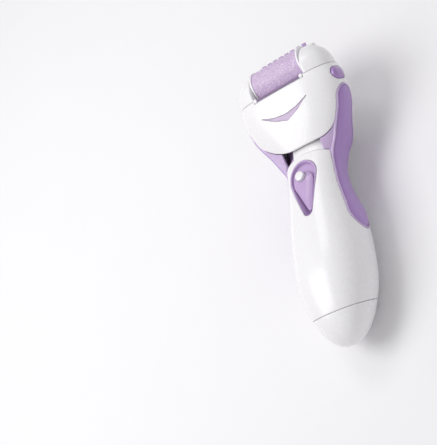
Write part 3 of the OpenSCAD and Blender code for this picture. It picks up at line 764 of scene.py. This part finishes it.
# the dark purple sheet paints the shade seen in the gap under the head
skin("neck_gap_painted_shade", neck_painted_shade, (-18, 20, 21), (18, 45, 38), 0.5, HANDLE, PAINTED_SHADE_PURPLE, "casing")
skin("neck_wedge", neck_collar, (-8.4, 22, 23.5), (14, 41, 38.5), 0.4, HANDLE, WHITE, "casing",
     ["neck_collar"])
skin("switch_surround", bezel, (-12.4, -17.5, 34.3), (9, 21.8, 42), 0.35, HANDLE, LILAC_PAD, "casing",
     ["switch_bezel"])
skin("switch_pad", slider, (-9.8, -13.2, 29.6), (6.2, 15.2, 39.6), 0.35, HANDLE, LILAC_PAD, "switch",
     ["switch_slider"])
skin("lock_cap", lock_button, (LOCK[0] - 3.4, LOCK[1] - 3.4, 37.8),
     (LOCK[0] + 3.4, LOCK[1] + 3.4, 41.8), 0.25, HANDLE, WHITE, "lock",
     ["lock_button"])


# ---- head -----------------------------------------------------------------------------------

HEAD_PARTING = -6.0
SCREW_X, SCREW_Y = 10.0, 27.5
BUTTON_Y, BUTTON_Z, BUTTON_LONG, BUTTON_R = 30.6, 0.1, 3.8, 3.9
BUTTON_EDGE_X, BUTTON_RISE = 34.75, 1.2
CHEVRON = [(0, 17.3), (8, 20.2), (16.6, 25.2), (9, 22.4), (1.4, 21.2), (-1.4, 21.2), (-9, 22.4),
           (-16.6, 25.2), (-8, 20.2)]


def polygon_distance(x, y, corners):
    """Signed distance to a polygon in a plane, negative inside."""
    best, inside = np.full(np.shape(x), 1e9), np.zeros(np.shape(x), bool)
    for (ax, ay), (bx, by) in zip(corners, corners[1:] + corners[:1]):
        ex, ey = bx - ax, by - ay
        t = np.clip(((x - ax) * ex + (y - ay) * ey) / (ex * ex + ey * ey), 0, 1)
        best = np.minimum(best, np.hypot(x - ax - t * ex, y - ay - t * ey))
        crosses = (ay > y) != (by > y)
        inside ^= crosses & (x < ax + (y - ay) * ex / np.where(ey == 0, 1e-9, ey))
    return np.where(inside, -best, best)


def chevron(x, y):
    """The chevron on the head's face."""
    return polygon_distance(x, y, CHEVRON)


def button_outline(y, z):
    """The release button, seen from the side."""
    return taper(y, z, (BUTTON_Y, BUTTON_Z), (BUTTON_Y, BUTTON_Z + BUTTON_LONG), BUTTON_R,
                 BUTTON_R + 0.0001)


def grip_room_head(x, y, z):
    """The grips' room at a point of the head's frame."""
    return grip_room(x, *to_handle(y, z))


def boss_distance(x, y):
    """Distance from the nearer casing screw's axis."""
    return np.hypot(np.abs(x) - SCREW_X, y - SCREW_Y)


def head_front(x, y, z):
    """The head's front, with the chevron's groove, the roller's notch and two screw bosses."""
    g = head(x, y, z)
    groove = np.maximum(chevron(x, y) - 0.12, np.maximum(-(g + 0.9), 8 - z))
    notch = np.maximum(np.maximum(np.abs(x) - WINDOW, 36 - y), -z)
    wall = meet(EDGE_R, g, -(g + WALL), y - SEAM_Y + SEAM_GAP, head_lip(x) - y,
                HEAD_PARTING + SEAM_GAP - z, -grip_room_head(x, y, z), -notch,
                -np.maximum(button_outline(y, z) - 0.2, 24 - x))
    wall = round_max(wall, -groove, 0.15)
    boss = np.maximum(np.maximum(boss_distance(x, y) - 2.6, -3 - z), z - 15.2)
    return np.maximum(np.minimum(wall, boss), -np.maximum(boss_distance(x, y) - 1.2, z - 5))


def head_rear(x, y, z):
    """The head's back, with two screw bosses."""
    g = head(x, y, z)
    wall = meet(EDGE_R, g, -(g + WALL), y - SEAM_Y + SEAM_GAP, -1 - y, z - HEAD_PARTING + SEAM_GAP,
                -grip_room_head(x, y, z))
    r = boss_distance(x, y)
    boss = np.maximum(np.maximum(r - 3.4, -15.6 - z), z + 3.2)
    hole = np.minimum(np.maximum(r - 1.3, z + 2), np.maximum(r - 2.5, z + 14))
    return round_max(np.minimum(wall, boss), -hole, 0.25)


def chevron_mark(x, y, z):
    """The lilac inlay in the chevron's groove."""
    g = head(x, y, z)
    return meet(0.2, g + 0.35, -(g + 0.85), chevron(x, y), 8 - z)


def cap(x, y, z):
    """A hollow end cap with a boss for the roller's axle."""
    g = head(x, y, z)
    hollow = np.maximum(g + 1.2, WINDOW + 1.1 - x)
    shell = meet(0.45, round_max(g, WINDOW - x, 1.8), SEAM_Y - y, -hollow)
    r = np.hypot(y - ROLLER_Y, z)
    shell = round_max(shell, -np.maximum(r - 3.6, x - WINDOW - 3), 0.2)
    boss = np.maximum(np.maximum(r - 3.2, 25.4 - x), x - 30.8)
    return np.maximum(np.minimum(shell, boss), -np.maximum(r - 1.5, x - 28.4))


def release(x, y, z):
    """The oval release button, with a flange inside the head."""
    edge = button_outline(y, z)
    inward = np.clip(-edge / BUTTON_R, 0, 1)
    top = BUTTON_EDGE_X + BUTTON_RISE * (1 - (1 - inward) ** 2)
    dome = meet(0.4, edge, (x - top) * 0.9, 28.6 - x)
    flange = np.maximum(np.maximum(edge - 0.5, 28.6 - x), x - 29.4)
    return np.minimum(dome, flange)


skin("head_front", head_front, (-36, -2, -6.2), (36, 38.4, 18.4), 0.45, HEAD, WHITE, "casing",
     ["head_front_shell"])
skin("head_rear", head_rear, (-36, -2, -18.4), (36, 38.4, -2.6), 0.5, HEAD, WHITE, "casing",
     ["head_rear_shell"])
skin("chevron_mark", chevron_mark, (-17, 17, 14.5), (17, 25.6, 18.2), 0.25, HEAD, LILAC_MARK, "casing",
     ["chevron_inlay"])
skin("cap_end_right", cap, (18, 37.4, -15), (34.2, 57.2, 15), 0.4, HEAD, WHITE, "cartridge",
     ["cap_right"], ("cap_end_left", ["cap_left"]))
skin("release_pad", release, (28.2, 26, -4.6), (36.4, 35.2, 8.6), 0.3, HEAD, BUTTON, "release",
     ["release_button"])


# ---- roller and cartridge trim --------------------------------------------------------------

SLEEVE_HALF, SLEEVE_R, SLEEVE_BORE, SLEEVE_CHAMFER = 16.9, 9.98, 8.92, 0.45
SLEEVE_ROWS, SLEEVE_AROUND, GRAIN_LIFT = 210, 400, 0.06


def ring(profile, around):
    """Points and faces of a closed (x, radius) profile turned about the x axis."""
    a = np.linspace(0, 2 * math.pi, around, endpoint=False)
    rows = len(profile)
    points = np.stack([np.repeat(profile[:, 0], around), (profile[:, 1:2] * np.cos(a)).ravel(),
                       (profile[:, 1:2] * np.sin(a)).ravel()], 1)
    i, j = np.meshgrid(np.arange(rows), np.arange(around), indexing="ij")
    i2, j2 = (i + 1) % rows, (j + 1) % around
    corners = [i * around + j2, i2 * around + j2, i2 * around + j, i * around + j]
    return points, np.stack(corners, -1).reshape(-1, 4)


def grit_sleeve():
    """The abrasive sleeve: a chamfered tube whose skin stands up in small grains."""
    x = np.linspace(-SLEEVE_HALF, SLEEVE_HALF, SLEEVE_ROWS)
    chamfer = np.clip((np.abs(x) - SLEEVE_HALF + 0.5) / 0.5, 0, 1) ** 2
    outside = np.stack([x, SLEEVE_R - SLEEVE_CHAMFER * chamfer], 1)
    inside = [[SLEEVE_HALF, SLEEVE_BORE], [-SLEEVE_HALF, SLEEVE_BORE]]
    points, faces = ring(np.concatenate([outside, inside]), SLEEVE_AROUND)
    rng = np.random.default_rng(7)
    grains = rng.random((SLEEVE_ROWS, SLEEVE_AROUND)) ** 2
    blur = grains + 0.5 * (np.roll(grains, 1, 0) + np.roll(grains, 1, 1))
    lift = GRAIN_LIFT * (blur / blur.max() - 0.35)
    lift *= np.clip((SLEEVE_HALF - np.abs(x)) / 0.7, 0, 1)[:, None]
    skin_points = points[:SLEEVE_ROWS * SLEEVE_AROUND]
    radius = np.linalg.norm(skin_points[:, 1:], axis=1)
    skin_points[:, 1:] *= (1 + lift.ravel() / radius)[:, None]
    points[:, 1] += ROLLER_Y
    declare(add_mesh("abrasive_sleeve", points, faces, HEAD, ABRASIVE), "roller",
            ["roller_sleeve"])


CRADLE_X, CRADLE_Z, CRADLE_WALL = 30.4, 11.8, 1.7


def cradle_bar(x, y, z):
    """The cartridge's frame: plate, front bar, small feet beside the roller, legs into the head."""
    ax = np.abs(x)
    ratio = (ax / CRADLE_X) ** HEAD_POWER + (np.abs(z) / CRADLE_Z) ** HEAD_POWER
    edge = (ratio ** (1 / HEAD_POWER) - 1) * CRADLE_Z
    plate = meet(0.3, edge, y - SEAM_Y, SEAM_Y - CRADLE_WALL - y)
    window = np.maximum(ax - 18.5, np.abs(z + 5.7) - 14.3)
    gear = np.maximum(np.maximum(19.2 - x, x - 23.6), np.abs(z) - 8.6)
    plate = np.maximum(plate, -np.minimum(window, gear))
    bar = meet(0.5, ax - 18.1, y - SEAM_Y, SEAM_Y - CRADLE_WALL - y, z - 13.4, 11 - z)
    foot = meet(0.5, np.hypot(ax - 17.1, y - 37.4) - 1.3, z - 13.9, 9.6 - z)
    legs = meet(0.3, np.abs(ax - 26.9) - 0.9, y - 37.5, 26 - y, z + 4.9, -7.2 - z)
    return np.minimum(np.minimum(plate, bar), np.minimum(foot, legs))


grit_sleeve()
skin("cartridge_frame", cradle_bar, (-31, 25.4, -12.6), (31, 39.2, 14.6), 0.35, HEAD, SATIN_WHITE,
     "cartridge", ["cartridge_cradle"])


COMB_X, COMB_Z, COMB_HALF, COMB_TOP, TOOTH_TOP = 17.6, -10.9, 0.42, 57.1, 59.0
TOOTH_PITCH, TOOTH_HALF = 4.4, 1.45


def comb(x, y, z):
    """The guard behind the roller, with castellations along its top edge and feet in the head."""
    ax, thick = np.abs(x), np.abs(z - COMB_Z) - COMB_HALF
    local = np.abs((x + COMB_X) % TOOTH_PITCH - TOOTH_PITCH / 2)
    plate = meet(0.22, ax - COMB_X, y - COMB_TOP, 31.2 - y, thick)
    tooth = meet(0.22, local - TOOTH_HALF, y - TOOTH_TOP, 56 - y, thick, ax - COMB_X + 0.1)
    web = np.abs(np.abs(ax - 7.8) - 7.8) - 1.5
    feet = meet(0.2, web, y - 34.5, 31.2 - y, z + 11.0, -12.6 - z, ax - 17.2)
    return np.minimum(np.minimum(plate, tooth), feet)


def window_shade_band(x, y, z):
    """A purple strip along the cartridge's front bar, below the roller: painted shade for the shadowed
    gap between the roller and the head's shell.
    """
    return meet(0.35, np.abs(x) - 16.2, y - 37.95, 36.6 - y, z - 13.75, 12.6 - z)


# the purple strip paints the shadow in the gap below the roller
skin("window_shade_band", window_shade_band, (-16.8, 36, 12), (16.8, 38.5, 14.2), 0.25, HEAD, PAINTED_SHADE_PURPLE, "cartridge")
skin("guard_castle", comb, (-18.2, 30.8, -13), (18.2, 60.8, -10), 0.28, HEAD, LILAC_DARK, "casing",
     ["guard_comb"])


# ---- CAD nodes that stay --------------------------------------------------------------------

KEPT = {
    "roller_core": SATIN_WHITE, "roller_bushes": BRASS, "roller_gear": GEAR, "roller_axle": STEEL,
    "idler_gear": GEAR, "idler_pin": STEEL, "motor_can": STEEL, "motor_rotor": COPPER,
    "motor_shaft": STEEL, "motor_pinion": BRASS, "motor_bracket": STEEL, "motor_screws": STEEL,
    "casing_screws": STEEL, "latch_hook": STEEL, "release_spring": STEEL, "lock_spring": STEEL,
    "circuit_board": BOARD, "slide_switch": DARK, "battery_tray": DARK, "battery_contacts": BRASS,
    "battery_cell_1": CELL, "battery_cell_2": CELL, "battery_cell_3": CELL, "battery_cell_4": CELL,
    "battery_springs": STEEL, "cover_contact": BRASS, "wires": WIRE}
BEVELLED = {"roller_core": 0.25, "motor_can": 0.3, "motor_bracket": 0.15, "motor_rotor": 0.2,
            "battery_tray": 0.1, "battery_cell_1": 0.3, "battery_cell_2": 0.3, "battery_cell_3": 0.3,
            "battery_cell_4": 0.3, "slide_switch": 0.2, "circuit_board": 0.12, "latch_hook": 0.08}

for name, material in KEPT.items():
    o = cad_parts[name]
    o.data.materials.clear()
    o.data.materials.append(material)
    if name in BEVELLED:
        bevel = o.modifiers.new("edges", "BEVEL")
        bevel.width, bevel.segments = BEVELLED[name] * MM, 2
        bevel.limit_method, bevel.angle_limit = "ANGLE", math.radians(35)


# ---- stage ----------------------------------------------------------------------------------

FLOOR_HALF = 3.0
WORLD_COLOUR, WORLD_STRENGTH = (1, 0.995, 1, 1), 0.5
# Area lights: name, place and size in metres, power in watts
LIGHTS = (("key", (-0.42, -0.05, 0.8), 0.6, 4.3), ("fill", (0.5, -0.7, 0.7), 0.8, 0.5),
          ("top", (-0.1, 0.6, 0.9), 0.4, 1.5))
LIGHT_TARGET = Vector((0, 0, 0.02))


def stage():
    """A pale floor, an even white surround and three soft lights."""
    mesh = bpy.data.meshes.new("studio_floor")
    corners = [(-1, -1), (1, -1), (1, 1), (-1, 1)]
    mesh.from_pydata([(FLOOR_HALF * x, FLOOR_HALF * y, cad_low.z) for x, y in corners], [],
                     [(0, 1, 2, 3)])
    mesh.materials.append(floor_material())
    floor = bpy.data.objects.new("studio_floor", mesh)
    bpy.context.scene.collection.objects.link(floor)
    world = bpy.data.worlds.new("studio")
    world.use_nodes = True
    background = world.node_tree.nodes["Background"]
    background.inputs["Color"].default_value = WORLD_COLOUR
    background.inputs["Strength"].default_value = WORLD_STRENGTH
    bpy.context.scene.world = world
    for name, place, size, power in LIGHTS:
        data = bpy.data.lights.new(name, "AREA")
        data.size, data.energy = size, power
        light = bpy.data.objects.new(name, data)
        light.location = place
        light.rotation_mode = "QUATERNION"
        light.rotation_quaternion = (LIGHT_TARGET - Vector(place)).to_track_quat("-Z", "Y")
        bpy.context.scene.collection.objects.link(light)


stage()

bpy.context.scene.view_settings.view_transform = "Standard"
